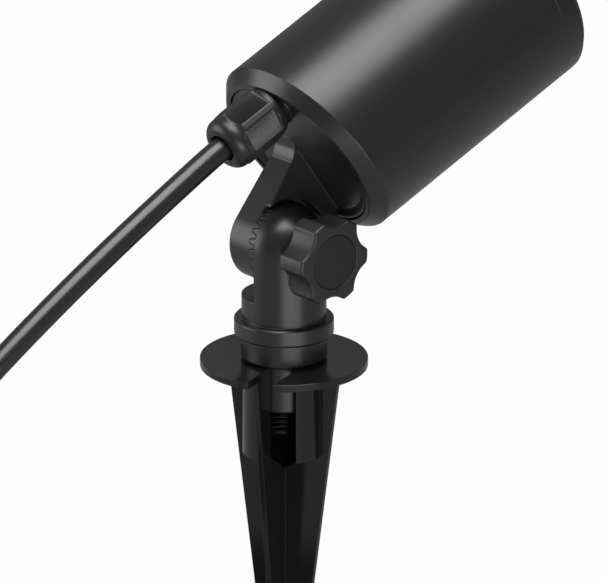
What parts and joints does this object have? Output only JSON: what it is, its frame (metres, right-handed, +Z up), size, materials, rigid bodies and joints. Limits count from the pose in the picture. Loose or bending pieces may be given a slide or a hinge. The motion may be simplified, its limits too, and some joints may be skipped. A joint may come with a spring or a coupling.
{
  "type": "garden spike spotlight",
  "caption": "Outdoor spotlight: barrel head with rear cable gland, on a toothed tilting clamp with a star knob, a round post and a four-blade ground spike with a disc.",
  "frame": {"origin": "tip of the ground spike, on the axis of the post", "axes": "+Z up along the spike and post; +X the way the head points, seen from above; -Y the clamp knob's side"},
  "size_m": [0.2815, 0.1099, 0.2555],
  "materials": {
    "spike_plastic": "glossy black moulded nylon",
    "powder_coat": "satin black powder coat on die-cast aluminium",
    "seal_rubber": "black silicone",
    "window_glass": "clear toughened glass",
    "lamp_white": "white lamp body",
    "lamp_lens": "frosted lens",
    "plated_steel": "nickel plated",
    "stainless": "stainless steel",
    "ceramic_white": "unglazed steatite ceramic",
    "gland_nylon": "black polyamide",
    "knob_nylon": "satin black nylon",
    "insert_brass": "turned brass",
    "cord_rubber": "black rubber sheath",
    "plug_rubber": "black moulded rubber"
  },
  "bodies": {
    "spike": {"spike": "spike_plastic"},
    "post": {"post": "powder_coat"},
    "head": {"rear_cover": "powder_coat", "rear_seal": "seal_rubber", "cover_screws": "plated_steel", "housing": "powder_coat", "window_seal": "seal_rubber", "window": "window_glass", "lamp_body": "lamp_white", "lamp_lens": "lamp_lens", "lamp_pins": "plated_steel", "lamp_holder": "ceramic_white", "holder_bridge": "stainless", "terminal_block": "ceramic_white", "gland_body": "gland_nylon", "gland_seal": "seal_rubber", "clamp_bolt": "stainless", "clamp_washer": "stainless", "cord": "cord_rubber", "cord_coil": "cord_rubber", "plug_body": "plug_rubber", "plug_pins": "plated_steel", "plug_earth_clips": "plated_steel"},
    "knob": {"knob": "knob_nylon", "knob_insert": "insert_brass", "knob_cap": "knob_nylon"},
    "gland_nut": {"gland_nut": "gland_nylon"},
    "front_ring": {"front_ring": "powder_coat"}
  },
  "joints": [
    {"name": "post_swivel", "type": "hinge", "parent": "spike", "child": "post", "pos_m": [0, 0, 0.1342], "axis": [0, 0, 1], "range_deg": [-180, 180]},
    {"name": "head_tilt", "type": "hinge", "parent": "post", "child": "head", "pos_m": [0, 0, 0.1686], "axis": [0, -1, 0], "range_deg": [-30, 60]},
    {"name": "knob_turn", "type": "hinge", "parent": "head", "child": "knob", "pos_m": [0, 0, 0.1686], "axis": [0, -1, 0], "range_deg": [0, 720]},
    {"name": "gland_nut_turn", "type": "hinge", "parent": "head", "child": "gland_nut", "pos_m": [-0.01538, 0, 0.20574], "axis": [-0.9239, 0, -0.3827], "range_deg": [0, 1440]},
    {"name": "front_ring_turn", "type": "hinge", "parent": "head", "child": "front_ring", "pos_m": [0.07488, 0, 0.223], "axis": [0.9239, 0, 0.3827], "range_deg": [0, 1080]}
  ]
}
